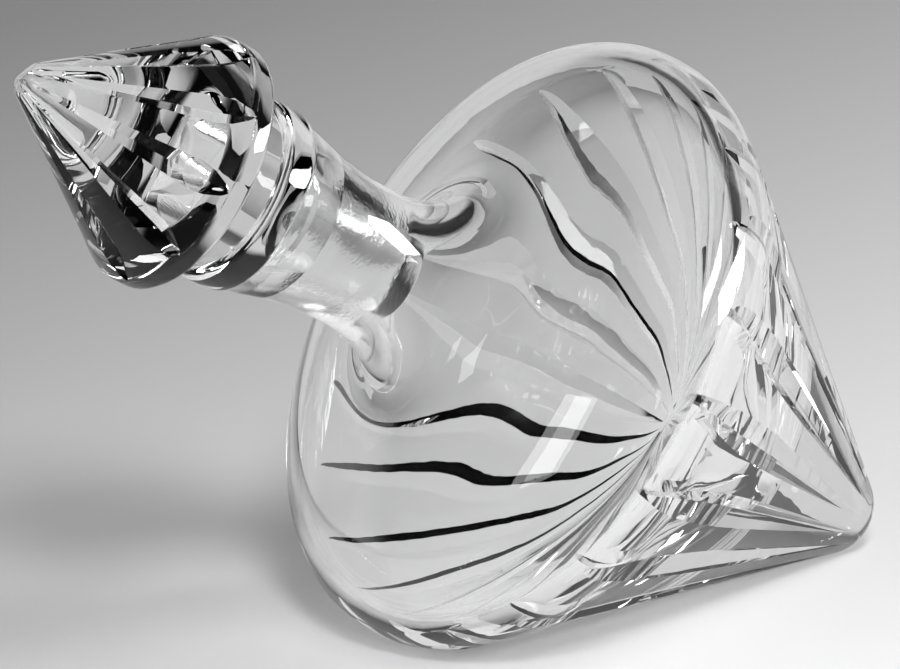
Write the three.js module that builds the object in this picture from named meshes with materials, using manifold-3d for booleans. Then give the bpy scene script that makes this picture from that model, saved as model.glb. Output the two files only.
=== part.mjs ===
// A cut-glass decanter that has no foot: its lower half is a ridged cone, and it lies on two of the ridges
// with its neck up. A ground-in stopper with a large cut head closes the neck.
// Each piece is drawn as a profile of [radius, height] points round its own axis, with height 0 at the point
// where the ridges would meet, and is laid down on its ridges at the end. Lengths are in millimetres and
// angles in degrees. An angle of a surface is the one its outward normal makes with the level, upward.

import * as THREE from 'three';
import { mergeVertices } from 'three/addons/utils/BufferGeometryUtils.js';
import Module from 'manifold-3d';

// Body, outside
const widestRadius = 80;
const ridgeAngle = 34;
const tipRounding = 13;
const shoulderRounding = 19;
const shoulderEndAngle = 53;
const domeRounding = 42;
const crownAngle = 80;
const footRounding = 24;
const waistRadius = 18.1;
const waistLength = 10;
const flareRounding = 50;
const flareAngle = 15;
const flareLength = 14.2;
const lipBandRounding = 5;
const lipBandStartAngle = -28;
const lipBandHeight = 4.8;
const lipRounding = 2.05;

// Body, inside
const mouthAngle = 19.5;
const boreRounding = 25;
const domeWall = 4;
const innerShoulderRounding = 10;
const cavityAngle = 52;
const cavityBottomRounding = 25;

// Cuts in the body
const cutCount = 20;
const cutAngle = 118;
const cutDepth = 3.2;
const cutStartHeight = 21;
const cutEndAngle = -8;
const cutRunOut = 35;

// Stopper
const plugEndRadius = 10;
const plugTaper = 4.46;
const plugLength = 37;
const plugInNeck = 53;
const plugTopRounding = 1.2;
const shankRadius = 12.25;
const shankAboveLip = 11;
const headRadius = 32.4;
const headUndersideRounding = 1.5;
const headBandHeight = 2.5;
const headRimRounding = 5.5;
const headAngle = 32;
const headTipRounding = 5.5;
const tipFlatDistance = 4.4;
const tipFlatTilt = 30;
const tipFlatTurn = 31;

// Cuts in the stopper's head
const headCutCount = 10;
const headCutAngle = 130;
const headCutDepth = 2.3;
const headCutStartRadius = 3;
const headCutEndAngle = 15;
const headCutWheelRadius = 25;
const headTurn = 11;

// Gap between the ground plug and its seat, and how far the cutting shapes reach past the glass
const seatGap = 0.3;
const toolHeight = 12;
const toolOverrun = 5;
const headToolHeight = 8;
const headToolOverrun = 1.5;
const toolOverrunAngle = 8;

// How finely round shapes are stepped
const bodySides = 80;
const stopperSides = 60;
const arcStep = 10;
const fineArcStep = 20;
const cutSteps = 6;
const wheelSteps = 4;

const rad = THREE.MathUtils.degToRad;
const sin = (angle) => Math.sin(rad(angle));
const cos = (angle) => Math.cos(rad(angle));
const tan = (angle) => Math.tan(rad(angle));
const point = (radius, height) => new THREE.Vector2(radius, height);
const facing = (angle) => point(cos(angle), sin(angle));
const past = (from, direction, length) => from.clone().addScaledVector(direction, length);

const wasm = await Module();
wasm.setup();

// A round stretch of a profile, from one surface angle to another.
function arc(centre, radius, from, to, step = arcStep) {
  const steps = Math.max(1, Math.ceil(Math.abs(to - from) / step));
  return Array.from({ length: steps + 1 }, (_, i) => past(centre, facing(from + ((to - from) * i) / steps), radius));
}

// The centre of a rounding that touches two straight stretches, each given by a point on it and its angle.
function roundingCentre(onFirst, firstAngle, onSecond, secondAngle, radius) {
  const first = facing(firstAngle);
  const second = facing(secondAngle);
  const firstReach = onFirst.dot(first) - radius;
  const secondReach = onSecond.dot(second) - radius;
  const turn = first.cross(second);
  return point(
    (firstReach * second.y - secondReach * first.y) / turn,
    (secondReach * first.x - firstReach * second.x) / turn,
  );
}

// The body's outline, from the tip up the outside to the lip.
const tip = point(0, tipRounding / sin(ridgeAngle));
const shoulderRadius = widestRadius - shoulderRounding;
const shoulder = point(shoulderRadius, (shoulderRounding + shoulderRadius * cos(ridgeAngle)) / sin(ridgeAngle));
const dome = past(shoulder, facing(shoulderEndAngle), shoulderRounding - domeRounding);
const footRadius = waistRadius + footRounding;
const footHeight = dome.y
  + (domeRounding + footRounding - (footRadius - dome.x) * cos(crownAngle)) / sin(crownAngle);
const foot = point(footRadius, footHeight);
const flare = point(waistRadius + flareRounding, foot.y + waistLength);
const flareEnd = past(past(flare, facing(180 - flareAngle), flareRounding), point(sin(flareAngle), cos(flareAngle)),
  flareLength);
const lipBand = past(flareEnd, facing(lipBandStartAngle), -lipBandRounding);
const lip = point(lipBand.x + lipBandRounding - lipRounding, lipBand.y + lipBandHeight);
const lipTop = lip.y + lipRounding;

// The plug is a plain taper, and its seat in the neck runs parallel to it.
const plugEnd = point(plugEndRadius, lipTop - plugInNeck);
const plugTop = past(plugEnd, point(tan(plugTaper), 1), plugLength);
const seatPoint = past(plugEnd, facing(-plugTaper), seatGap);
const mouthPoint = past(lip, facing(180 - mouthAngle), lipRounding);
const seatTop = roundingCentre(seatPoint, 180 - plugTaper, mouthPoint, 180 - mouthAngle, 0);

// The body's outline, down the inside to the bottom of the cavity.
const crownPoint = past(dome, facing(crownAngle), domeRounding - domeWall);
const bore = roundingCentre(seatPoint, 180 - plugTaper, crownPoint, 180 + crownAngle, boreRounding);
const innerDomeRounding = domeRounding - domeWall;
const innerShoulder = past(dome, facing(shoulderEndAngle), innerDomeRounding - innerShoulderRounding);
const cavityBottom = point(0, innerShoulder.y
  - (innerShoulderRounding - cavityBottomRounding + innerShoulder.x * cos(cavityAngle)) / sin(cavityAngle));

const bodyProfile = [
  ...arc(tip, tipRounding, -90, -ridgeAngle, fineArcStep),
  ...arc(shoulder, shoulderRounding, -ridgeAngle, shoulderEndAngle),
  ...arc(dome, domeRounding, shoulderEndAngle, crownAngle).slice(1),
  ...arc(foot, footRounding, 180 + crownAngle, 180, fineArcStep),
  ...arc(flare, flareRounding, 180, 180 - flareAngle),
  ...arc(lipBand, lipBandRounding, lipBandStartAngle, 0).slice(1),
  ...arc(lip, lipRounding, 0, 180 - mouthAngle, fineArcStep * 2),
  seatTop,
  ...arc(bore, boreRounding, 180 - plugTaper, 180 + crownAngle, fineArcStep),
  ...arc(dome, innerDomeRounding, crownAngle, shoulderEndAngle),
  ...arc(innerShoulder, innerShoulderRounding, shoulderEndAngle, -cavityAngle, fineArcStep).slice(1),
  ...arc(cavityBottom, cavityBottomRounding, -cavityAngle, -90),
];

// The stopper's outline, from the plug's end up the outside to the head's tip.
const headUnderside = lipTop + shankAboveLip;
const headUndersideEdge = point(headRadius - headUndersideRounding, headUnderside + headUndersideRounding);
const headRim = point(headRadius - headRimRounding, headUndersideEdge.y + headBandHeight);
const headTip = point(0, headRim.y
  + (headRimRounding - headTipRounding + headRim.x * cos(headAngle)) / sin(headAngle));

const stopperProfile = [
  point(0, plugEnd.y),
  plugEnd,
  plugTop,
  point(shankRadius, plugTop.y + plugTopRounding),
  point(shankRadius, headUnderside),
  ...arc(headUndersideEdge, headUndersideRounding, -90, 0, fineArcStep * 2),
  ...arc(headRim, headRimRounding, 0, headAngle),
  ...arc(headTip, headTipRounding, headAngle, 90),
];

// A profile turned round its axis, stood along +Z, with the middle of a flat side towards each cut.
function turned(profile, sides) {
  const tidied = profile.map((p) => point(Math.max(0, p.x), p.y));
  tidied[0].x = 0;
  tidied[tidied.length - 1].x = 0;
  const distinct = tidied.filter((p, i) => i === 0 || p.distanceTo(tidied[i - 1]) > 0);
  return new THREE.LatheGeometry(distinct, sides, Math.PI / sides).rotateX(Math.PI / 2);
}

function solid(geometry) {
  geometry.deleteAttribute('normal');
  geometry.deleteAttribute('uv');
  const merged = mergeVertices(geometry);
  return new wasm.Manifold(new wasm.Mesh({
    numProp: 3,
    vertProperties: new Float32Array(merged.attributes.position.array),
    triVerts: new Uint32Array(merged.index.array),
  }));
}

function surface(shape) {
  const mesh = shape.getMesh();
  const geometry = new THREE.BufferGeometry();
  geometry.setAttribute('position', new THREE.BufferAttribute(mesh.vertProperties, 3));
  geometry.setIndex(new THREE.BufferAttribute(mesh.triVerts, 1));
  return geometry;
}

// The path of a mitre wheel's edge: straight along the glass from the start, then out of it along the wheel's
// own curve, so that it leaves the glass at the end. Each station has its outward direction. The outside is on
// the path's right, or on its left where side is -1.
function wheelPath(start, through, end, wheelRadius, side, overrun) {
  const along = through.clone().sub(start).normalize();
  const out = point(along.y, -along.x).multiplyScalar(side);
  const toEnd = end.clone().sub(start);
  const rise = toEnd.dot(out);
  const curve = Math.sqrt(rise * (2 * wheelRadius - rise));
  const straight = toEnd.dot(along) - curve;
  const hub = past(past(start, along, straight), out, wheelRadius);
  const last = THREE.MathUtils.radToDeg(Math.asin(curve / wheelRadius)) + toolOverrunAngle;
  const stations = [{ at: past(start, along, -overrun), out }];
  for (let i = 0; i <= wheelSteps; i += 1) {
    const angle = (last * i) / wheelSteps;
    const turnedOut = out.clone().multiplyScalar(cos(angle)).addScaledVector(along, -sin(angle));
    stations.push({ at: past(hub, turnedOut, -wheelRadius), out: turnedOut });
  }
  return stations;
}

// The glass that a mitre wheel takes away along its path: a V-shaped wedge, closed at both ends.
function cut(stations, vAngle, height, side) {
  const halfWidth = height * tan(vAngle / 2) * side;
  const positions = stations.flatMap(({ at, out }) => {
    const top = past(at, out, height);
    return [at.x, 0, at.y, top.x, -halfWidth, top.y, top.x, halfWidth, top.y];
  });
  const index = [0, 2, 1];
  for (let i = 3; i < stations.length * 3; i += 3) {
    for (let j = 0; j < 3; j += 1) {
      const k = (j + 1) % 3;
      index.push(i - 3 + j, i - 3 + k, i + k, i - 3 + j, i + k, i + j);
    }
  }
  const last = stations.length * 3 - 3;
  index.push(last, last + 1, last + 2);
  const geometry = new THREE.BufferGeometry();
  geometry.setAttribute('position', new THREE.BufferAttribute(new Float32Array(positions), 3));
  geometry.setIndex(index);
  return geometry;
}

// Takes the same cut out of a shape all the way round.
function cutAround(shape, tool, count, turn) {
  let result = shape;
  for (let i = 0; i < count; i += 1) {
    const placed = tool.clone().rotateZ(rad(turn + (360 * i) / count));
    result = result.subtract(solid(placed));
  }
  return result;
}

// The wheel goes evenly into the cone and comes out again over the shoulder, faster towards the end, so that
// each cut in the body ends in a long point. The stations are given by how much of the cut is left.
function bodyCut() {
  const start = point(cutStartHeight * tan(ridgeAngle), cutStartHeight);
  const coneEnd = past(shoulder, facing(-ridgeAngle), shoulderRounding);
  const along = coneEnd.clone().sub(start).normalize();
  const overShoulder = shoulderRounding * rad(ridgeAngle + cutEndAngle);
  const length = start.distanceTo(coneEnd) + overShoulder;
  const station = (left, depth) => {
    const onCone = Math.max(0, left - overShoulder);
    const out = facing(cutEndAngle - THREE.MathUtils.radToDeg((left - onCone) / shoulderRounding));
    const onSurface = past(past(shoulder, out, shoulderRounding), along, -onCone);
    return { at: past(onSurface, out, -depth), out };
  };
  const stations = [station(length + toolOverrun, (-toolOverrun * cutDepth) / (length - cutRunOut))];
  for (let i = cutSteps; i >= -1; i -= 1) {
    const share = i / cutSteps;
    stations.push(station(cutRunOut * share * Math.abs(share), cutDepth * share));
  }
  return cut(stations, cutAngle, toolHeight, 1);
}

// The head's cuts are deepest at the rim and run out at the tip.
function headCut() {
  const rimEnd = past(headRim, facing(headAngle), headRimRounding);
  const start = point(headCutStartRadius, rimEnd.y + (rimEnd.x - headCutStartRadius) / tan(headAngle));
  const through = past(rimEnd, facing(headAngle), -headCutDepth);
  const end = past(headRim, facing(headCutEndAngle), headRimRounding);
  const stations = wheelPath(start, through, end, headCutWheelRadius, -1, headToolOverrun);
  return cut(stations, headCutAngle, headToolHeight, -1);
}

// The small flat where the head's tip was ground off and polished, to one side of the axis.
function tipFlat() {
  const size = headRimRounding * 2;
  const block = new THREE.BoxGeometry(size, size, size).translate(0, 0, tipFlatDistance + size / 2);
  return block.rotateY(rad(tipFlatTilt)).rotateZ(rad(tipFlatTurn)).translate(0, 0, headTip.y);
}

const bodyShape = cutAround(solid(turned(bodyProfile, bodySides)), bodyCut(), cutCount, 0);
const plainStopper = solid(turned(stopperProfile, stopperSides)).subtract(solid(tipFlat()));
const stopperShape = cutAround(plainStopper, headCut(), headCutCount, headTurn);

// The body lies on the straight line under its lowest ridges, from near the tip to the shoulder. The line is
// found by going along the underside from the tip, each time to the point that lies lowest as seen from there.
function layingAngle(geometry) {
  const { array } = geometry.attributes.position;
  const outline = [];
  for (let i = 0; i < array.length; i += 3) {
    outline.push(point(-array[i], array[i + 2]));
  }
  const slope = (from, to) => (to.x - from.x) / (to.y - from.y);
  let at = outline.reduce((lowest, p) => (p.y < lowest.y ? p : lowest));
  for (;;) {
    const here = at;
    const next = outline
      .filter((p) => p.y > here.y + seatGap)
      .reduce((best, p) => (slope(here, p) > slope(here, best) ? p : best));
    if (next.y > shoulder.y / 2) {
      return Math.atan(slope(here, next));
    }
    at = next;
  }
}

const bodySurface = surface(bodyShape);
const stopperSurface = surface(stopperShape);
const lean = layingAngle(bodySurface);

// Clear thick glass, polished all over.
const glass = () => new THREE.MeshStandardMaterial({ color: 0xdfe5e4, roughness: 0.04, metalness: 0 });

const decanterBody = new THREE.Mesh(bodySurface, glass());
decanterBody.name = 'decanter_body';

const stopper = new THREE.Mesh(stopperSurface, glass());
stopper.name = 'stopper';

// Laid down, neck towards -X, then moved so that the middle of its box is over the origin.
const laid = new THREE.Group();
laid.add(decanterBody, stopper);
laid.rotation.y = lean - Math.PI / 2;

const decanter = new THREE.Group();
decanter.add(laid);
decanter.updateMatrixWorld(true);
const box = new THREE.Box3().setFromObject(decanter, true);
const middle = box.getCenter(new THREE.Vector3());
laid.position.set(-middle.x, -middle.y, -box.min.z);

export default decanter;
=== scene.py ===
import math

import bmesh
import bpy
from mathutils import Matrix, Vector, noise


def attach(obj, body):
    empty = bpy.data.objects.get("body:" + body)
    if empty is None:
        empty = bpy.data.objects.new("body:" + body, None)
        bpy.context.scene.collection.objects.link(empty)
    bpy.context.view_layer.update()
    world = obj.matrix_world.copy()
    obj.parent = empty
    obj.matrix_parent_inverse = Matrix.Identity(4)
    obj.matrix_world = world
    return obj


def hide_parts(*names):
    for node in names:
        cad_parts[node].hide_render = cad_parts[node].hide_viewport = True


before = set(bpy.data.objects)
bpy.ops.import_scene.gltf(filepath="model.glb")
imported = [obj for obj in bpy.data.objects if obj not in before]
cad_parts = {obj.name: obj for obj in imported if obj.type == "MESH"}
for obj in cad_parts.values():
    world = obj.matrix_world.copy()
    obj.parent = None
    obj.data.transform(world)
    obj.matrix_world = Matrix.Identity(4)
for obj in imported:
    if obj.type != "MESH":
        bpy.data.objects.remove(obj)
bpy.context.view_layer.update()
print("frame loaded")

# Lengths are in metres and angles in degrees. A profile is a row of stations, each a point (radius, height)
# round the piece's own axis and the direction away from the centre that it is drawn from. Height 0 is where
# the body's ridges would meet. An angle of a surface is the one its direction makes with the level.
laying = {
    "lean": 33.97952,  # of the lowest ridges from the axis
    "apex": (0.1210967, 0, 0),  # where height 0 comes to lie
}


def sin(angle):
    return math.sin(math.radians(angle))


def cos(angle):
    return math.cos(math.radians(angle))


def tan(angle):
    return math.tan(math.radians(angle))


def facing(angle):
    return Vector((cos(angle), sin(angle)))


def roundStretch(centre, radius, start, end, step):
    steps = max(1, math.ceil(abs(end - start) / step))
    angles = [start + (end - start) * i / steps for i in range(steps + 1)]
    return [(centre + facing(angle) * radius, facing(angle)) for angle in angles]


# What is nearer than this is in the same place, or faces the same way.
samePlace = 1e-6
sameWay = 1e-5


# The stations inside a straight stretch. Their spacing grows along it where the power is over 1.
def straightStretch(start, end, steps, power=1):
    direction = Vector((end.y - start.y, start.x - end.x)).normalized()
    return [(start.lerp(end, (i / steps) ** power), direction) for i in range(1, steps)]


# Blown glass flows from one rounding into the next. The first stations are kept, and the last.
def flowing(stations, kept, rounds=12):
    points = [point for point, _ in stations]
    for _ in range(rounds):
        points[kept:-1] = [
            (points[i - 1] + points[i] * 2 + points[i + 1]) / 4 for i in range(kept, len(points) - 1)]
    return [(point, direction) for point, (_, direction) in zip(points, stations)]


# The centre of a rounding that touches two straight stretches, each a point on it and its angle.
def roundingCentre(onFirst, firstAngle, onSecond, secondAngle, radius):
    first, second = facing(firstAngle), facing(secondAngle)
    firstReach = onFirst.dot(first) - radius
    secondReach = onSecond.dot(second) - radius
    turn = first.x * second.y - first.y * second.x
    return Vector((
        (firstReach * second.y - secondReach * first.y) / turn,
        (secondReach * first.x - firstReach * second.x) / turn,
    ))


# The edge of a mitre wheel goes straight along under the surface from the start, then out along its own
# curve.
def wheelPath(start, through, end, wheelRadius, angle, side):
    along = (through - start).normalized()
    out = Vector((along.y, -along.x)) * side
    rise = (end - start).dot(out)
    straight = (end - start).dot(along) - math.sqrt(rise * (2 * wheelRadius - rise))
    return {
        "start": start,
        "along": along,
        "out": out,
        "straight": straight,
        "hub": start + along * straight + out * wheelRadius,
        "wheelRadius": wheelRadius,
        "spread": tan(angle / 2),
    }


# Each of these two gives a measure of how far a point is inside the wheel's V, sideways: the glass is gone
# where it is over 0. The first wheel runs on its path, and the second follows the surface at each station's
# depth.
def groundOnPath(path):
    def inside(_, radius, height, turn):
        across = Vector((radius * math.cos(turn), height))
        reach = across - path["start"]
        if reach.dot(path["along"]) < path["straight"]:
            depth = reach.dot(path["out"])
        else:
            depth = path["wheelRadius"] - (across - path["hub"]).length
        return depth * path["spread"] - radius * math.sin(turn)
    return inside


def groundAlong(stations, depths, angle):
    def inside(i, radius, height, turn):
        point, direction = stations[i]
        above = (radius * math.cos(turn) - point.x) * direction.x + (height - point.y) * direction.y
        return (depths[i] + above) * tan(angle / 2) - radius * math.sin(turn)
    return inside


# Where a falling measure passes 0, between 0 and the highest value.
def crossing(measure, highest, halvings=36):
    if measure(0) <= 0:
        return 0
    if measure(highest) >= 0:
        return highest
    low, high = 0, highest
    for _ in range(halvings):
        middle = (low + high) / 2
        if measure(middle) > 0:
            low = middle
        else:
            high = middle
    return low


# A piece turned from its profile, with the same cut ground into it all the way round. Half of one cut's
# share is spun, its vertices are drawn to the cut's edge and sunk to the wheel, and it is mirrored and
# repeated.
def turnedAndCut(stations, inside, count, deepest=0.014, columns=8, flank=4):
    half = math.pi / count
    mesh = bmesh.new()
    stationOf = mesh.verts.layers.int.new("station")
    row = []
    for i, (point, _) in enumerate(stations):
        vertex = mesh.verts.new((point.x, 0, point.y))
        vertex[stationOf] = i
        row.append(vertex)
    edges = [mesh.edges.new(pair) for pair in zip(row, row[1:])]
    bmesh.ops.spin(mesh, geom=row + edges, cent=(0, 0, 0), axis=(0, 0, 1), angle=half, steps=columns)
    edgeTurns = []
    for i, (point, _) in enumerate(stations):
        edgeTurns.append(crossing(lambda turn: inside(i, point.x, point.y, turn), half))
    firstCut = min(i for i, turn in enumerate(edgeTurns) if turn > 0)
    lastCut = max(i for i, turn in enumerate(edgeTurns) if turn > 0)
    for vertex in mesh.verts:
        i = vertex[stationOf]
        point, direction = stations[i]
        column = round(math.atan2(vertex.co.y, vertex.co.x) / half * columns)
        edgeTurn = edgeTurns[i]
        if point.x < samePlace or i < firstCut - 1 or i > lastCut + 1:
            continue
        if column > flank:
            turn = edgeTurn + (half - edgeTurn) * (column - flank) / (columns - flank)
        else:
            turn = edgeTurn * column / flank
            sunk = crossing(
                lambda depth: inside(i, point.x - depth * direction.x, point.y - depth * direction.y, turn),
                deepest)
            point = point - direction * sunk
        vertex.co = (point.x * math.cos(turn), point.x * math.sin(turn), point.y)
    bmesh.ops.remove_doubles(mesh, verts=mesh.verts, dist=samePlace)
    bmesh.ops.mirror(mesh, geom=mesh.verts[:] + mesh.edges[:] + mesh.faces[:], axis="Y", merge_dist=samePlace)
    bmesh.ops.spin(mesh, geom=mesh.verts[:] + mesh.edges[:] + mesh.faces[:], cent=(0, 0, 0), axis=(0, 0, 1),
                   angle=2 * half * (count - 1), steps=count - 1, use_duplicate=True)
    bmesh.ops.remove_doubles(mesh, verts=mesh.verts, dist=samePlace)
    bmesh.ops.recalc_face_normals(mesh, faces=mesh.faces)
    return mesh, stationOf


# The seat is ground and not polished, on the plug and in the neck, so its faces get the piece's second
# finish.
def grindSeat(mesh, stationOf, stations, seatFacing):
    onSeat = {i for i, (_, direction) in enumerate(stations) if (direction - seatFacing).length < sameWay}
    for face in mesh.faces:
        if all(vertex[stationOf] in onSeat for vertex in face.verts):
            face.material_index = 1


# The finished mesh, laid down where the decanter lies, smooth except at the cuts' edges.
def laidPiece(mesh, name, body, node, materials, sharpFrom=17):
    place = Matrix.Translation(laying["apex"]) @ Matrix.Rotation(math.radians(laying["lean"] - 90), 4, "Y")
    bmesh.ops.transform(mesh, matrix=place, verts=mesh.verts)
    for face in mesh.faces:
        face.smooth = True
    for edge in mesh.edges:
        edge.smooth = edge.calc_face_angle(0) < math.radians(sharpFrom)
    data = bpy.data.meshes.new(name)
    mesh.to_mesh(data)
    mesh.free()
    for material in materials:
        data.materials.append(material)
    piece = bpy.data.objects.new(name, data)
    bpy.context.scene.collection.objects.link(piece)
    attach(piece, body)
    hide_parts(node)
    print(name, "has", len(data.polygons), "faces")
    return piece


bodySizes = {
    "widestRadius": 0.080,
    "ridgeAngle": 34,
    "tipRounding": 0.013,
    "shoulderRounding": 0.019,
    "shoulderEndAngle": 53,
    "domeRounding": 0.042,
    "crownAngle": 80,
    "footRounding": 0.024,
    "waistRadius": 0.0181,
    "waistLength": 0.010,
    "flareRounding": 0.050,
    "flareAngle": 15,
    "flareLength": 0.0142,
    "lipBandRounding": 0.005,
    "lipBandStartAngle": -28,
    "lipBandHeight": 0.0048,
    "lipRounding": 0.00205,
    "mouthAngle": 19.5,
    "mouthRounding": 0.0006,
    "boreRounding": 0.025,
    "domeWall": 0.004,
    "innerShoulderRounding": 0.0125,
    "innerShoulderEndAngle": -20,
    "innerFlankRounding": 0.030,
    "cavityAngle": 52,
    "cavityBottomRounding": 0.025,
    "seatGap": 0.0003,
    "cutCount": 20,
    "cutAngle": 118,
    "cutDepth": 0.0032,
    "cutRunOut": 0.035,
    "cutBlend": 1.18,
    "cutBlendPower": 3,
    "cutStartHeight": 0.021,
    "cutEndAngle": -8,
}


def bodyCentres(s):
    centres = {"tip": Vector((0, s["tipRounding"] / sin(s["ridgeAngle"])))}
    shoulderRadius = s["widestRadius"] - s["shoulderRounding"]
    centres["shoulder"] = Vector((
        shoulderRadius,
        (s["shoulderRounding"] + shoulderRadius * cos(s["ridgeAngle"])) / sin(s["ridgeAngle"])))
    toDome = facing(s["shoulderEndAngle"])
    centres["dome"] = dome = centres["shoulder"] + toDome * (s["shoulderRounding"] - s["domeRounding"])
    footRadius = s["waistRadius"] + s["footRounding"]
    reach = s["domeRounding"] + s["footRounding"] - (footRadius - dome.x) * cos(s["crownAngle"])
    centres["foot"] = Vector((footRadius, dome.y + reach / sin(s["crownAngle"])))
    centres["flare"] = flare = Vector((
        s["waistRadius"] + s["flareRounding"], centres["foot"].y + s["waistLength"]))
    flareEnd = flare + facing(180 - s["flareAngle"]) * s["flareRounding"]
    flareEnd += Vector((sin(s["flareAngle"]), cos(s["flareAngle"]))) * s["flareLength"]
    centres["lipBand"] = flareEnd - facing(s["lipBandStartAngle"]) * s["lipBandRounding"]
    centres["lip"] = centres["lipBand"] + Vector((
        s["lipBandRounding"] - s["lipRounding"], s["lipBandHeight"]))
    return centres


centres = bodyCentres(bodySizes)
lipTop = centres["lip"].y + bodySizes["lipRounding"]


def bodyProfile(s):
    c = centres
    taper = stopperSizes["plugTaper"]
    seatPoint = plugEnd + facing(-taper) * s["seatGap"]
    mouthPoint = c["lip"] + facing(180 - s["mouthAngle"]) * s["lipRounding"]
    seatTop = roundingCentre(seatPoint, 180 - taper, mouthPoint, 180 - s["mouthAngle"], s["mouthRounding"])
    innerDome = s["domeRounding"] - s["domeWall"]
    crownPoint = c["dome"] + facing(s["crownAngle"]) * innerDome
    bore = roundingCentre(seatPoint, 180 - taper, crownPoint, 180 + s["crownAngle"], s["boreRounding"])
    innerShoulder = c["dome"] + facing(s["shoulderEndAngle"]) * (innerDome - s["innerShoulderRounding"])
    innerFlank = innerShoulder + facing(s["innerShoulderEndAngle"]) * (
        s["innerShoulderRounding"] - s["innerFlankRounding"])
    bottomRounding = s["cavityBottomRounding"]
    drop = s["innerFlankRounding"] - bottomRounding + innerFlank.x * cos(s["cavityAngle"])
    cavityBottom = Vector((0, innerFlank.y - drop / sin(s["cavityAngle"])))
    tip = roundStretch(c["tip"], s["tipRounding"], -90, -s["ridgeAngle"], step=5)
    coneStart = Vector((s["cutStartHeight"] * tan(s["ridgeAngle"]), s["cutStartHeight"]))
    # The stations lie closer together just inside the cuts' end.
    rounding, cutEnd = s["shoulderRounding"], s["cutEndAngle"]
    cutShoulder = roundStretch(c["shoulder"], rounding, -s["ridgeAngle"], cutEnd - 2, step=2)
    cutShoulder += roundStretch(c["shoulder"], rounding, cutEnd - 1.4, cutEnd, step=0.35)
    dome = roundStretch(c["shoulder"], rounding, cutEnd + 2, s["shoulderEndAngle"], step=3)
    dome += roundStretch(c["dome"], s["domeRounding"], s["shoulderEndAngle"], s["crownAngle"], step=3)[1:]
    foot = roundStretch(c["foot"], s["footRounding"], 180 + s["crownAngle"], 180, step=5)
    flare = roundStretch(c["flare"], s["flareRounding"], 180, 180 - s["flareAngle"], step=3)
    blown = [
        *dome,
        *straightStretch(dome[-1][0], foot[0][0], steps=9),
        *foot,
        *straightStretch(foot[-1][0], flare[0][0], steps=5),
        *flare,
    ]
    outside = [
        *tip,
        *straightStretch(tip[-1][0], coneStart, steps=3),
        (coneStart, facing(-s["ridgeAngle"])),
        *straightStretch(coneStart, cutShoulder[0][0], steps=26, power=1.4),
        *flowing(cutShoulder + blown, kept=len(cutShoulder) + 1),
        *roundStretch(c["lipBand"], s["lipBandRounding"], s["lipBandStartAngle"], 0, step=5),
        *roundStretch(c["lip"], s["lipRounding"], 0, 180 - s["mouthAngle"], step=9),
    ]
    inside = [
        *roundStretch(seatTop, s["mouthRounding"], 180 - s["mouthAngle"], 180 - taper, step=5),
        *straightStretch(seatTop + facing(180 - taper) * s["mouthRounding"],
                         bore + facing(180 - taper) * s["boreRounding"], steps=6),
        *flowing([
            *roundStretch(bore, s["boreRounding"], 180 - taper, 180 + s["crownAngle"], step=5),
            *straightStretch(bore + facing(180 + s["crownAngle"]) * s["boreRounding"], crownPoint, steps=6),
            *roundStretch(c["dome"], innerDome, s["crownAngle"], s["shoulderEndAngle"], step=3),
            *roundStretch(innerShoulder, s["innerShoulderRounding"], s["shoulderEndAngle"],
                          s["innerShoulderEndAngle"], step=5)[1:],
            *roundStretch(innerFlank, s["innerFlankRounding"], s["innerShoulderEndAngle"],
                          -s["cavityAngle"], step=2)[1:],
        ], kept=1),
        *straightStretch(innerFlank + facing(-s["cavityAngle"]) * s["innerFlankRounding"],
                         cavityBottom + facing(-s["cavityAngle"]) * bottomRounding, steps=16),
        *roundStretch(cavityBottom, bottomRounding, -s["cavityAngle"], -90, step=5),
    ]
    return outside, inside


# The wheel goes in evenly up the cone, and comes out again over the shoulder, faster towards the end. The
# hand blends the one into the other.
def bodyCut(s, stations):
    start = tan(s["ridgeAngle"]) * s["cutStartHeight"]
    end = centres["shoulder"] + facing(s["cutEndAngle"]) * s["shoulderRounding"]
    first = next(i for i, (point, _) in enumerate(stations) if abs(point.x - start) < samePlace)
    last = next(i for i, (point, _) in enumerate(stations) if (point - end).length < samePlace)
    travel = [0]
    for i in range(first, last):
        travel.append(travel[-1] + (stations[i + 1][0] - stations[i][0]).length)
    power = s["cutBlendPower"]
    depths = [-1] * len(stations)
    for i in range(first, last + 1):
        left = travel[-1] - travel[i - first]
        goingIn = (travel[-1] - left) / (travel[-1] - s["cutRunOut"])
        comingOut = math.sqrt(left / s["cutRunOut"])
        if goingIn > 0 and comingOut > 0:
            blended = (goingIn ** -power + comingOut ** -power) ** (-1 / power)
            depths[i] = s["cutDepth"] * s["cutBlend"] * blended
        else:
            depths[i] = 0
    return groundAlong(stations, depths, s["cutAngle"])


# The inside was blown and never ground, so its wall has soft rings and dents.
ripple = {
    "depth": 0.00022,
    "ringsPerMetre": 46,
    "dentDepth": 0.0003,
    "dentsPerMetre": 22,
    "ringsFrom": (0.3, 0.7),
    "plainStations": 10,
    "fadingStations": 12,
}


def blowInside(mesh, stationOf, stations, outerCount):
    firstBlown = outerCount + ripple["plainStations"]
    last = len(stations) - 1
    for vertex in mesh.verts:
        i = vertex[stationOf]
        if i <= firstBlown or vertex.co.xy.length < samePlace:
            continue
        along = (stations[min(i + 1, last)][0] - stations[i - 1][0]).normalized()
        ring = Vector((vertex.co.z * ripple["ringsPerMetre"], *ripple["ringsFrom"]))
        swell = noise.noise(ring) * ripple["depth"]
        swell += noise.noise(vertex.co * ripple["dentsPerMetre"]) * ripple["dentDepth"]
        swell *= min(1, (i - firstBlown) / ripple["fadingStations"])
        intoGlass = Vector((*(vertex.co.xy.normalized() * -along.y), along.x))
        vertex.co += intoGlass * swell


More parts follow.
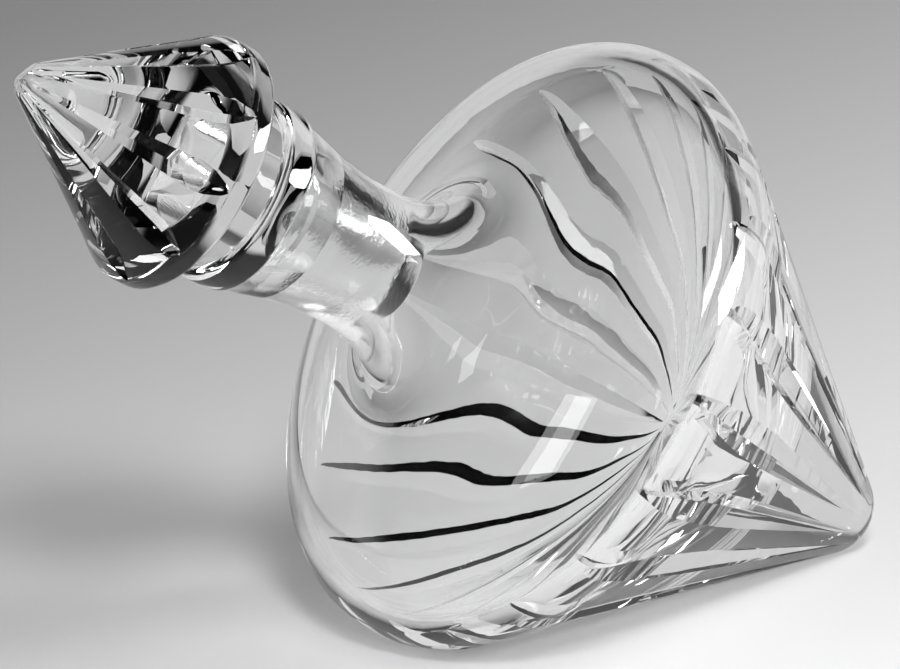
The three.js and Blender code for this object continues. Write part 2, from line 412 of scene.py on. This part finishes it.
stopperSizes = {
    "plugEndRadius": 0.010,
    "plugEndRounding": 0.0005,
    "plugTaper": 4.46,
    "plugLength": 0.037,
    "plugInNeck": 0.053,
    "plugTopRounding": 0.0012,
    "shankRadius": 0.01225,
    "shankAboveLip": 0.011,
    "shankRounding": 0.0012,
    "headRadius": 0.0324,
    "headUndersideRounding": 0.0015,
    "headBandHeight": 0.0025,
    "headRimRounding": 0.0055,
    "headAngle": 32,
    "headTipRounding": 0.0055,
    "tipFlatDistance": 0.0044,
    "tipFlatTilt": 30,
    "tipFlatTurn": 31,
    "cutCount": 10,
    "cutAngle": 130,
    "cutDepth": 0.0023,
    "cutStartRadius": 0.003,
    "cutEndAngle": 15,
    "cutWheelRadius": 0.025,
    "headTurn": 11,
}
plugEnd = Vector((stopperSizes["plugEndRadius"], lipTop - stopperSizes["plugInNeck"]))


def stopperProfile(s):
    plugTop = plugEnd + Vector((tan(s["plugTaper"]), 1)) * s["plugLength"]
    shankFoot = Vector((s["shankRadius"], plugTop.y + s["plugTopRounding"]))
    underside = lipTop + s["shankAboveLip"]
    edgeRounding = s["headUndersideRounding"]
    undersideEdge = Vector((s["headRadius"] - edgeRounding, underside + edgeRounding))
    rim = Vector((s["headRadius"] - s["headRimRounding"], undersideEdge.y + s["headBandHeight"]))
    rise = s["headRimRounding"] - s["headTipRounding"] + rim.x * cos(s["headAngle"])
    tip = Vector((0, rim.y + rise / sin(s["headAngle"])))
    endRounding = s["plugEndRounding"]
    endCentre = Vector((plugEnd.x - endRounding * (1 - sin(s["plugTaper"])) / cos(s["plugTaper"]),
                        plugEnd.y + endRounding))
    shankRounding = s["shankRounding"]
    shankTop = Vector((s["shankRadius"] + shankRounding, underside - shankRounding))
    # Here too the stations lie closer together just inside the cuts' end.
    cutEnd = s["cutEndAngle"]
    rimStations = roundStretch(rim, s["headRimRounding"], 0, cutEnd - 2, step=4)
    rimStations += roundStretch(rim, s["headRimRounding"], cutEnd, cutEnd + 1.8, step=0.6)
    rimStations += roundStretch(rim, s["headRimRounding"], cutEnd + 3, s["headAngle"], step=2)
    tipStations = roundStretch(tip, s["headTipRounding"], s["headAngle"], 90, step=3)
    stations = [
        (Vector((0, plugEnd.y)), facing(-90)),
        *straightStretch(Vector((0, plugEnd.y)), Vector((endCentre.x, plugEnd.y)), steps=4),
        *roundStretch(endCentre, endRounding, -90, -s["plugTaper"], step=12),
        *straightStretch(endCentre + facing(-s["plugTaper"]) * endRounding, plugTop, steps=8),
        (plugTop, facing(-s["plugTaper"])),
        (shankFoot, facing(0)),
        *straightStretch(shankFoot, Vector((s["shankRadius"], shankTop.y)), steps=6),
        *roundStretch(shankTop, shankRounding, 180, 90, step=12),
        *straightStretch(Vector((shankTop.x, underside)), Vector((undersideEdge.x, underside)), steps=6),
        *roundStretch(undersideEdge, edgeRounding, -90, 0, step=12),
        *rimStations,
        *straightStretch(rimStations[-1][0], tipStations[0][0], steps=14),
        *tipStations,
    ]
    return stations, rim, tip


# The head's cuts are deepest at the rim and run out at the tip.
def headCut(s, rim):
    rimEnd = rim + facing(s["headAngle"]) * s["headRimRounding"]
    start = Vector((s["cutStartRadius"], rimEnd.y + (rimEnd.x - s["cutStartRadius"]) / tan(s["headAngle"])))
    through = rimEnd - facing(s["headAngle"]) * s["cutDepth"]
    end = rim + facing(s["cutEndAngle"]) * s["headRimRounding"]
    return groundOnPath(wheelPath(start, through, end, s["cutWheelRadius"], s["cutAngle"], -1))


# The tip was ground off a little to one side and polished.
def grindTip(mesh, s, tip):
    flatFacing = Vector((
        sin(s["tipFlatTilt"]) * cos(s["tipFlatTurn"]),
        sin(s["tipFlatTilt"]) * sin(s["tipFlatTurn"]),
        cos(s["tipFlatTilt"])))
    ground = Vector((0, 0, tip.y)) + flatFacing * s["tipFlatDistance"]
    opened = bmesh.ops.bisect_plane(mesh, geom=mesh.verts[:] + mesh.edges[:] + mesh.faces[:],
                                    plane_co=ground, plane_no=flatFacing, clear_outer=True)
    rimEdges = [part for part in opened["geom_cut"] if isinstance(part, bmesh.types.BMEdge)]
    bmesh.ops.contextual_create(mesh, geom=rimEdges)


# Faint hand wear: a slow waviness from the polishing, and fine scuffs in patches.
wear = {
    "waveHeight": 0.001,
    "waveDetail": 3,
    "scuffsPerMetre": 240,
    "scuffDetail": 6,
    "scuffsFrom": 0.5,
    "scuffsTo": 0.8,
}


def wornGlassGroup():
    group = bpy.data.node_groups.new("polished by hand", "ShaderNodeTree")
    face = group.interface
    for measure in ("Waviness", "Waves per metre", "Polished", "Scuffed"):
        face.new_socket(measure, in_out="INPUT", socket_type="NodeSocketFloat")
    face.new_socket("Roughness", in_out="OUTPUT", socket_type="NodeSocketFloat")
    face.new_socket("Normal", in_out="OUTPUT", socket_type="NodeSocketVector")
    nodes, links = group.nodes, group.links
    given = nodes.new("NodeGroupInput")
    made = nodes.new("NodeGroupOutput")
    place = nodes.new("ShaderNodeTexCoord")
    waves = nodes.new("ShaderNodeTexNoise")
    waves.inputs["Detail"].default_value = wear["waveDetail"]
    links.new(place.outputs["Object"], waves.inputs["Vector"])
    links.new(given.outputs["Waves per metre"], waves.inputs["Scale"])
    bump = nodes.new("ShaderNodeBump")
    bump.inputs["Distance"].default_value = wear["waveHeight"]
    links.new(waves.outputs["Fac"], bump.inputs["Height"])
    links.new(given.outputs["Waviness"], bump.inputs["Strength"])
    links.new(bump.outputs["Normal"], made.inputs["Normal"])
    scuffs = nodes.new("ShaderNodeTexNoise")
    scuffs.inputs["Scale"].default_value = wear["scuffsPerMetre"]
    scuffs.inputs["Detail"].default_value = wear["scuffDetail"]
    links.new(place.outputs["Object"], scuffs.inputs["Vector"])
    patches = nodes.new("ShaderNodeMapRange")
    patches.inputs["From Min"].default_value = wear["scuffsFrom"]
    patches.inputs["From Max"].default_value = wear["scuffsTo"]
    links.new(scuffs.outputs["Fac"], patches.inputs["Value"])
    links.new(given.outputs["Polished"], patches.inputs["To Min"])
    links.new(given.outputs["Scuffed"], patches.inputs["To Max"])
    links.new(patches.outputs["Result"], made.inputs["Roughness"])
    return group


wornGlass = wornGlassGroup()
leadGlass = {"tint": (0.985, 0.988, 0.987, 1), "refraction": 1.53}


# Each wall holds back only its share of the light that falls through it to the floor. Light that has bent
# more often than the finish says goes on straight.
def glassMaterial(name, finish):
    material = bpy.data.materials.new(name)
    material.use_nodes = True
    nodes, links = material.node_tree.nodes, material.node_tree.links
    glass = nodes["Principled BSDF"]
    glass.inputs["Base Color"].default_value = leadGlass["tint"]
    glass.inputs["Metallic"].default_value = 0
    glass.inputs["Transmission Weight"].default_value = 1
    glass.inputs["IOR"].default_value = leadGlass["refraction"]
    worn = nodes.new("ShaderNodeGroup")
    worn.node_tree = wornGlass
    worn.inputs["Waviness"].default_value = finish["waviness"]
    worn.inputs["Waves per metre"].default_value = finish["wavesPerMetre"]
    worn.inputs["Polished"].default_value = finish["polished"]
    worn.inputs["Scuffed"].default_value = finish["scuffed"]
    links.new(worn.outputs["Roughness"], glass.inputs["Roughness"])
    links.new(worn.outputs["Normal"], glass.inputs["Normal"])
    rays = nodes.new("ShaderNodeLightPath")
    held = nodes.new("ShaderNodeMapRange")
    held.inputs["To Min"].default_value = 1
    held.inputs["To Max"].default_value = finish["shade"]
    links.new(rays.outputs["Is Shadow Ray"], held.inputs["Value"])
    bending = nodes.new("ShaderNodeMath")
    bending.operation = "LESS_THAN"
    bending.inputs[1].default_value = finish["bends"] + 0.5
    links.new(rays.outputs["Ray Depth"], bending.inputs[0])
    solid = nodes.new("ShaderNodeMath")
    solid.operation = "MULTIPLY"
    links.new(held.outputs["Result"], solid.inputs[0])
    links.new(bending.outputs[0], solid.inputs[1])
    links.new(solid.outputs[0], glass.inputs["Alpha"])
    return material


bodyFinish = {
    "waviness": 0.12,
    "wavesPerMetre": 30,
    "polished": 0,
    "scuffed": 0.02,
    "shade": 0.45,
    "bends": 4,
}
stopperFinish = {
    "waviness": 0.05,
    "wavesPerMetre": 40,
    "polished": 0,
    "scuffed": 0.02,
    "shade": 0.6,
    "bends": 9,
}
seatFinish = {
    "waviness": 0.1,
    "wavesPerMetre": 900,
    "polished": 0.08,
    "scuffed": 0.14,
    "shade": 0.3,
    "bends": 4,
}
bodyGlass = glassMaterial("cut body glass", bodyFinish)
stopperGlass = glassMaterial("cut stopper glass", stopperFinish)
groundGlass = glassMaterial("ground seat glass", seatFinish)

outerWall, innerWall = bodyProfile(bodySizes)
bodyStations = outerWall + innerWall
bodyMesh, bodyStation = turnedAndCut(bodyStations, bodyCut(bodySizes, bodyStations), bodySizes["cutCount"])
blowInside(bodyMesh, bodyStation, bodyStations, len(outerWall))
grindSeat(bodyMesh, bodyStation, bodyStations, facing(180 - stopperSizes["plugTaper"]))
laidPiece(bodyMesh, "body_glass", "body", "decanter_body", [bodyGlass, groundGlass])

stopperStations, headRim, headTip = stopperProfile(stopperSizes)
stopperMesh, stopperStation = turnedAndCut(
    stopperStations, headCut(stopperSizes, headRim), stopperSizes["cutCount"])
bmesh.ops.rotate(stopperMesh, verts=stopperMesh.verts,
                 matrix=Matrix.Rotation(math.radians(stopperSizes["headTurn"]), 3, "Z"))
grindSeat(stopperMesh, stopperStation, stopperStations, facing(-stopperSizes["plugTaper"]))
grindTip(stopperMesh, stopperSizes, headTip)
laidPiece(stopperMesh, "stopper_glass", "stopper", "stopper", [stopperGlass, groundGlass])

# The plain pale floor. Its tone is painted darker towards the left, a painted falloff of the light, and two
# of its sides are painted dark where the glass mirrors them or shows them through: painted dark reflections.
stageSizes = {
    "floorSize": 1.1,
    "floorDark": 0.38,
    "floorPale": 0.62,
    "floorRoughness": 0.9,
    "floorSpecular": 0.1,
    # The painted falloff of the light: where the floor's painted shade runs from the dark tone to the pale
    # one, and which way.
    "paintedFalloffFrom": -0.4,
    "paintedFalloffTo": 0.115,
    "paintedFalloffAngle": 47.8,
    # Painted dark reflections: two sides of the floor are painted dark only where the glass mirrors them or
    # shows them through.
    "sidesPaintedDarkInGlass": (
        {"towards": (-0.89, 0.457, 0), "from": 0.4, "to": 0.5, "left": 0.01},
        {"towards": (-0.49, -0.87, 0), "from": 0.08, "to": 0.2, "left": 0.15},
    ),
}


def floorMaterial():
    material = bpy.data.materials.new("pale floor")
    material.use_nodes = True
    nodes, links = material.node_tree.nodes, material.node_tree.links
    paint = nodes["Principled BSDF"]
    paint.inputs["Roughness"].default_value = stageSizes["floorRoughness"]
    paint.inputs["Specular IOR Level"].default_value = stageSizes["floorSpecular"]
    place = nodes.new("ShaderNodeTexCoord")
    turn = nodes.new("ShaderNodeMapping")
    turn.inputs["Rotation"].default_value = (0, 0, math.radians(stageSizes["paintedFalloffAngle"]))
    along = nodes.new("ShaderNodeSeparateXYZ")
    # Painted falloff of the light across the floor, dark to pale, painted into its colour.
    paintedFalloff = nodes.new("ShaderNodeMapRange")
    paintedFalloff.inputs["From Min"].default_value = stageSizes["paintedFalloffFrom"]
    paintedFalloff.inputs["From Max"].default_value = stageSizes["paintedFalloffTo"]
    paintedFalloff.inputs["To Min"].default_value = stageSizes["floorDark"]
    paintedFalloff.inputs["To Max"].default_value = stageSizes["floorPale"]
    links.new(place.outputs["Object"], turn.inputs["Vector"])
    links.new(turn.outputs["Vector"], along.inputs["Vector"])
    links.new(along.outputs["X"], paintedFalloff.inputs["Value"])
    rays = nodes.new("ShaderNodeLightPath")
    inGlass = nodes.new("ShaderNodeMath")
    inGlass.operation = "MAXIMUM"
    links.new(rays.outputs["Is Glossy Ray"], inGlass.inputs[0])
    links.new(rays.outputs["Is Transmission Ray"], inGlass.inputs[1])
    tone = paintedFalloff.outputs["Result"]
    # Painted dark reflections: each side darkens the floor's colour only for rays that the glass mirrors or
    # lets through.
    for side in stageSizes["sidesPaintedDarkInGlass"]:
        away = nodes.new("ShaderNodeVectorMath")
        away.operation = "DOT_PRODUCT"
        away.inputs[1].default_value = side["towards"]
        links.new(place.outputs["Object"], away.inputs[0])
        fading = nodes.new("ShaderNodeMapRange")
        fading.inputs["From Min"].default_value = side["from"]
        fading.inputs["From Max"].default_value = side["to"]
        fading.inputs["To Min"].default_value = 1
        fading.inputs["To Max"].default_value = side["left"]
        links.new(away.outputs["Value"], fading.inputs["Value"])
        seen = nodes.new("ShaderNodeMix")
        seen.inputs["A"].default_value = 1
        links.new(inGlass.outputs[0], seen.inputs["Factor"])
        links.new(fading.outputs["Result"], seen.inputs["B"])
        faded = nodes.new("ShaderNodeMath")
        faded.operation = "MULTIPLY"
        links.new(tone, faded.inputs[0])
        links.new(seen.outputs["Result"], faded.inputs[1])
        tone = faded.outputs[0]
    links.new(tone, paint.inputs["Base Color"])
    return material


floorMesh = bmesh.new()
bmesh.ops.create_grid(floorMesh, x_segments=1, y_segments=1, size=stageSizes["floorSize"])
floorData = bpy.data.meshes.new("floor")
floorMesh.to_mesh(floorData)
floorMesh.free()
floorData.materials.append(floorMaterial())
floor = bpy.data.objects.new("floor", floorData)
bpy.context.scene.collection.objects.link(floor)
print("floor ready")

# The studio's light is plain for what it falls on. What the glass mirrors beyond the floor is dark, but for
# more pale floor low down and a pale sheet behind.
studio = {
    "plainLight": 0.15,
    "dark": 0.002,
    "farFloor": {"towards": (0, 0, -1), "from": 0.1, "to": 0.2, "tone": 0.45},
    "sheet": {"towards": (0.15, 0.85, -0.5), "from": 0.5, "to": 0.62, "tone": 0.6},
}

world = bpy.data.worlds.new("studio")
bpy.context.scene.world = world
world.use_nodes = True
worldNodes, worldLinks = world.node_tree.nodes, world.node_tree.links
plainLight = worldNodes["Background"]
plainLight.inputs["Color"].default_value = (1, 1, 1, 1)
plainLight.inputs["Strength"].default_value = studio["plainLight"]
mirroredStudio = worldNodes.new("ShaderNodeBackground")
wayOut = worldNodes.new("ShaderNodeTexCoord")


def paleTowards(name, part):
    towards = worldNodes.new("ShaderNodeVectorMath")
    towards.operation = "DOT_PRODUCT"
    towards.inputs[1].default_value = part["towards"]
    worldLinks.new(wayOut.outputs["Generated"], towards.inputs[0])
    edge = worldNodes.new("ShaderNodeMapRange")
    edge.label = name
    edge.interpolation_type = "SMOOTHSTEP"
    edge.inputs["From Min"].default_value = part["from"]
    edge.inputs["From Max"].default_value = part["to"]
    edge.inputs["To Min"].default_value = studio["dark"]
    edge.inputs["To Max"].default_value = part["tone"]
    worldLinks.new(towards.outputs["Value"], edge.inputs["Value"])
    return edge


farFloor = paleTowards("far floor", studio["farFloor"])
sheet = paleTowards("sheet", studio["sheet"])
paler = worldNodes.new("ShaderNodeMath")
paler.operation = "MAXIMUM"
worldLinks.new(farFloor.outputs["Result"], paler.inputs[0])
worldLinks.new(sheet.outputs["Result"], paler.inputs[1])
worldLinks.new(paler.outputs[0], mirroredStudio.inputs["Color"])
rays = worldNodes.new("ShaderNodeLightPath")
mirrored = worldNodes.new("ShaderNodeMath")
mirrored.operation = "MAXIMUM"
worldLinks.new(rays.outputs["Is Glossy Ray"], mirrored.inputs[0])
worldLinks.new(rays.outputs["Is Transmission Ray"], mirrored.inputs[1])
either = worldNodes.new("ShaderNodeMixShader")
worldLinks.new(mirrored.outputs[0], either.inputs["Fac"])
worldLinks.new(plainLight.outputs[0], either.inputs[1])
worldLinks.new(mirroredStudio.outputs[0], either.inputs[2])
worldLinks.new(either.outputs[0], worldNodes["World Output"].inputs["Surface"])
print("studio light ready")

# The lamps stand round the decanter and face it. The glass mirrors only the two windows.
lampDistance = 1.6
lampAim = Vector((0, 0, 0.08))
lamps = {
    "window on the right": {
        "towards": (0.79, -0.56, 0.25), "size": (0.9, 0.35), "watts": 26, "mirrored": True},
    "lamp above in front": {
        "towards": (0.02, -0.56, 0.82), "size": (0.4, 0.4), "watts": 8, "mirrored": False},
    "lamp above the camera": {
        "towards": (-0.273, -0.754, 0.598), "size": (0.3, 0.3), "watts": 28, "mirrored": False},
    "window on the left": {
        "towards": (-0.85, 0.1, 0.35), "size": (0.5, 0.5), "watts": 3, "mirrored": True},
}
for name, sizes in lamps.items():
    light = bpy.data.lights.new(name, "AREA")
    light.shape = "RECTANGLE"
    light.size, light.size_y = sizes["size"]
    light.energy = sizes["watts"]
    lamp = bpy.data.objects.new(name, light)
    lamp.visible_glossy = lamp.visible_transmission = sizes["mirrored"]
    away = Vector(sizes["towards"]).normalized()
    lamp.location = lampAim + away * lampDistance
    lamp.rotation_euler = away.to_track_quat("Z", "Y").to_euler()
    bpy.context.scene.collection.objects.link(lamp)
print("lamps ready")

viewpoint = {
    "lens": 348.1,
    "sensor": 36,
    "seesTo": 50,
    "place": (-1.01284, -1.81280, 0.56914),
    "right": (0.8634142, -0.4998875, -0.06803243),
    "up": (0.17348697, 0.16757237, 0.97047503),
}
camera = bpy.data.cameras.new("camera")
camera.lens = viewpoint["lens"]
camera.sensor_width = viewpoint["sensor"]
camera.clip_end = viewpoint["seesTo"]
cameraObject = bpy.data.objects.new("camera", camera)
right, up = Vector(viewpoint["right"]), Vector(viewpoint["up"])
turned = Matrix((right, up, right.cross(up))).transposed().to_4x4()
cameraObject.matrix_world = Matrix.Translation(viewpoint["place"]) @ turned
bpy.context.scene.collection.objects.link(cameraObject)
bpy.context.scene.camera = cameraObject
bpy.context.scene.view_settings.view_transform = "Standard"
print("stage ready")
